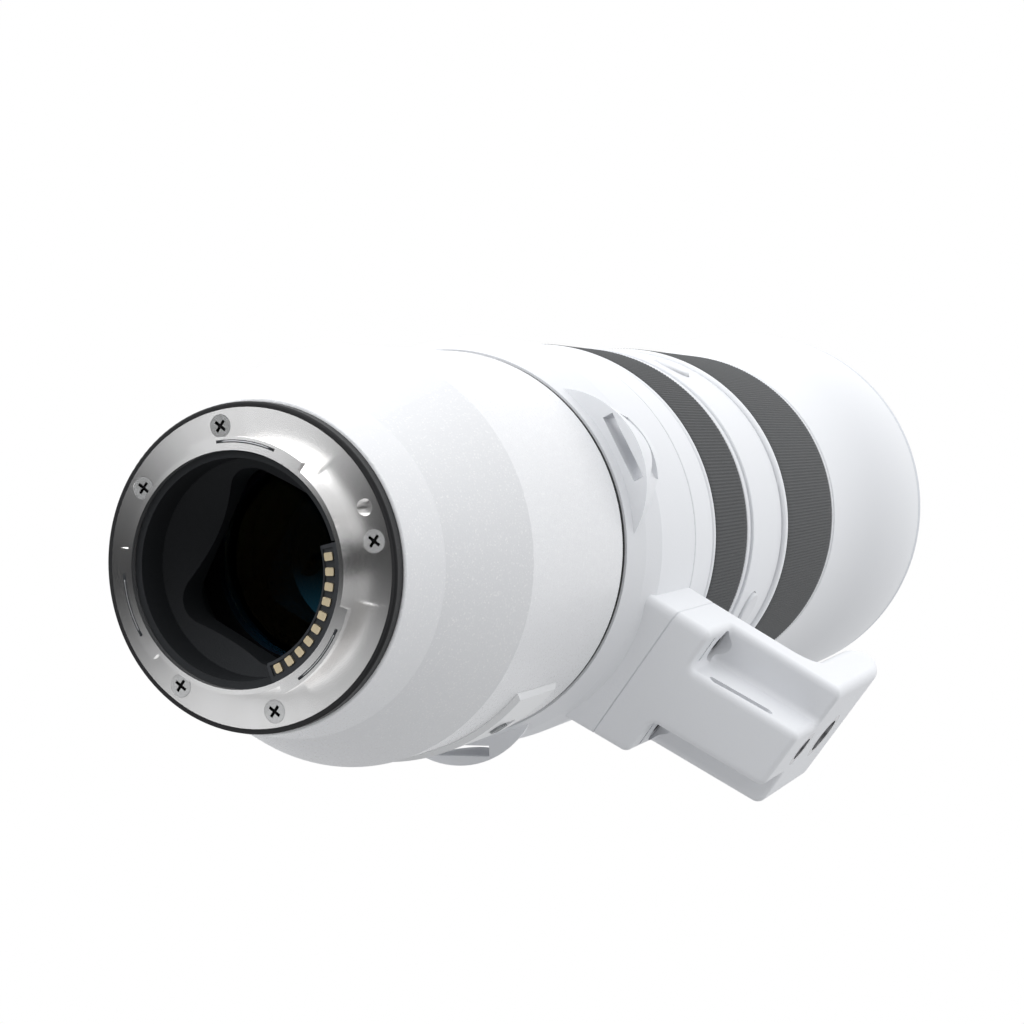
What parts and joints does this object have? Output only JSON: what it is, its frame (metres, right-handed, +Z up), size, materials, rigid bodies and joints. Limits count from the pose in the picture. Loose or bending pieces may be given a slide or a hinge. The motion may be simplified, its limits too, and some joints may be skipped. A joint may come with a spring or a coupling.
{
  "type": "camera zoom lens",
  "caption": "Long telephoto zoom camera lens with bayonet mount, white barrel, ribbed focus and zoom rings, a turning tripod collar with a leaning foot and strap lugs.",
  "frame": {"origin": "centre of the mount flange's rear face, on the lens axis", "axes": "+Y along the lens axis from the camera towards the front glass, +X to the right seen from behind, +Z up, with the tripod foot hanging straight down"},
  "size_m": [0.1198, 0.3512, 0.1472],
  "materials": {
    "enamel": "baked off-white enamel, fine texture",
    "white_cast": "off-white enamel on a magnesium casting",
    "dark_anodised": "black anodised, satin",
    "black_paint": "matt black flocked paint",
    "ring_rubber": "finely ribbed grip rubber",
    "seal_rubber": "soft weather seal",
    "mount_chrome": "turned, dull chromed brass",
    "screw_steel": "bright plated screws",
    "gold": "gold-plated contact",
    "black_plastic": "moulded black plastic",
    "panel_plastic": "white switch panel",
    "grey_plastic": "grey slider",
    "button_plastic": "off-white button",
    "glass": "coated optical glass",
    "flex_film": "amber polyimide film",
    "board": "green circuit board",
    "raw_aluminium": "machined, clear anodised",
    "blade_steel": "blackened spring steel",
    "bronze": "bronze race, dry film lubricant",
    "steel": "ground steel"
  },
  "bodies": {
    "barrel": {"mount_plate": "mount_chrome", "mount_screws": "screw_steel", "mount_gasket": "seal_rubber", "contact_block": "black_plastic", "contact_pads": "gold", "contact_flex": "flex_film", "rear_baffle": "black_paint", "rear_barrel": "enamel", "switch_panel": "panel_plastic", "light_tunnel": "dark_anodised", "rear_cell": "dark_anodised", "rear_lens": "glass", "main_board": "board", "collar_race": "bronze", "steady_base": "dark_anodised", "rod_plate": "raw_aluminium", "focus_rods": "steel", "iris_housing": "dark_anodised", "iris_blades": "blade_steel", "guide_tube": "dark_anodised", "mid_barrel": "enamel", "bridge_ring": "enamel", "front_barrel": "enamel", "front_rim": "grey_plastic", "front_cell": "dark_anodised", "front_lens": "glass", "second_lens": "glass", "lens_spacer": "dark_anodised", "retaining_ring": "dark_anodised", "filter_ring": "dark_anodised"},
    "collar": {"collar_ring": "white_cast", "foot": "white_cast", "foot_screws": "steel", "tripod_bushes": "steel"},
    "collar_knob": {"collar_knob": "white_cast"},
    "focus_ring": {"focus_ring": "enamel", "focus_grip": "ring_rubber"},
    "zoom_ring": {"zoom_ring": "enamel", "zoom_grip": "ring_rubber", "cam_tube": "raw_aluminium"},
    "front_zoom_group": {"front_zoom_carrier": "dark_anodised", "front_zoom_lens": "glass"},
    "rear_zoom_group": {"rear_zoom_carrier": "dark_anodised", "rear_zoom_lens": "glass"},
    "focus_group": {"focus_carrier": "black_plastic", "focus_lens": "glass"},
    "steady_pitch": {"steady_pitch_frame": "raw_aluminium"},
    "steady_yaw": {"steady_yaw_frame": "raw_aluminium", "steady_lens": "glass"},
    "bottom_hold_button": {"bottom_hold_button": "button_plastic"},
    "left_hold_button": {"left_hold_button": "button_plastic"},
    "right_hold_button": {"right_hold_button": "button_plastic"},
    "focus_mode_switch": {"focus_mode_switch": "grey_plastic"},
    "focus_override_switch": {"focus_override_switch": "grey_plastic"},
    "focus_range_switch": {"focus_range_switch": "grey_plastic"},
    "steady_switch": {"steady_switch": "grey_plastic"},
    "steady_mode_switch": {"steady_mode_switch": "grey_plastic"}
  },
  "joints": [
    {"name": "collar_turn", "type": "hinge", "parent": "barrel", "child": "collar", "pos_m": [0, 0.1065, 0], "axis": [0, 1, 0], "continuous": true},
    {"name": "collar_knob_turn", "type": "hinge", "parent": "collar", "child": "collar_knob", "pos_m": [-0.04503, 0.106, 0.02394], "axis": [-0.8829, 0, 0.4695], "range_deg": [0, 360]},
    {"name": "focus_ring_turn", "type": "hinge", "parent": "barrel", "child": "focus_ring", "pos_m": [0, 0.1578, 0], "axis": [0, 1, 0], "continuous": true},
    {"name": "zoom_ring_turn", "type": "hinge", "parent": "barrel", "child": "zoom_ring", "pos_m": [0, 0.2324, 0], "axis": [0, 1, 0], "range_deg": [0, 75]},
    {"name": "front_zoom_slide", "type": "slide", "parent": "barrel", "child": "front_zoom_group", "axis": [0, 1, 0], "range_m": [0, 0.036]},
    {"name": "rear_zoom_slide", "type": "slide", "parent": "barrel", "child": "rear_zoom_group", "axis": [0, 1, 0], "range_m": [0, 0.017]},
    {"name": "focus_group_slide", "type": "slide", "parent": "barrel", "child": "focus_group", "axis": [0, 1, 0], "range_m": [-0.005, 0.005]},
    {"name": "steady_pitch_slide", "type": "slide", "parent": "barrel", "child": "steady_pitch", "axis": [0, 0, 1], "range_m": [-0.0006, 0.0006]},
    {"name": "steady_yaw_slide", "type": "slide", "parent": "steady_pitch", "child": "steady_yaw", "axis": [1, 0, 0], "range_m": [-0.0006, 0.0006]},
    {"name": "bottom_hold_button_press", "type": "slide", "parent": "barrel", "child": "bottom_hold_button", "axis": [-0.1478, 0, 0.989], "range_m": [0, 0.0008], "stiffness_N_per_m": 1500, "springref_m": -0.0004},
    {"name": "left_hold_button_press", "type": "slide", "parent": "barrel", "child": "left_hold_button", "axis": [0.989, 0, 0.1478], "range_m": [0, 0.0008], "stiffness_N_per_m": 1500, "springref_m": -0.0004},
    {"name": "right_hold_button_press", "type": "slide", "parent": "barrel", "child": "right_hold_button", "axis": [-0.989, 0, -0.1478], "range_m": [0, 0.0008], "stiffness_N_per_m": 1500, "springref_m": -0.0004},
    {"name": "focus_mode_switch_slide", "type": "slide", "parent": "barrel", "child": "focus_mode_switch", "axis": [0, 1, 0], "range_m": [0, 0.0042]},
    {"name": "focus_override_switch_slide", "type": "slide", "parent": "barrel", "child": "focus_override_switch", "axis": [0, 1, 0], "range_m": [0, 0.0042]},
    {"name": "focus_range_switch_slide", "type": "slide", "parent": "barrel", "child": "focus_range_switch", "axis": [0, 1, 0], "range_m": [0, 0.0042]},
    {"name": "steady_switch_slide", "type": "slide", "parent": "barrel", "child": "steady_switch", "axis": [0, 1, 0], "range_m": [0, 0.0042]},
    {"name": "steady_mode_switch_slide", "type": "slide", "parent": "barrel", "child": "steady_mode_switch", "axis": [0, 1, 0], "range_m": [0, 0.0042]}
  ],
  "couplings": [
    {"joint": "front_zoom_slide", "follows": "zoom_ring_turn", "m_per_rad": 0.027501},
    {"joint": "rear_zoom_slide", "follows": "zoom_ring_turn", "m_per_rad": 0.012986}
  ]
}
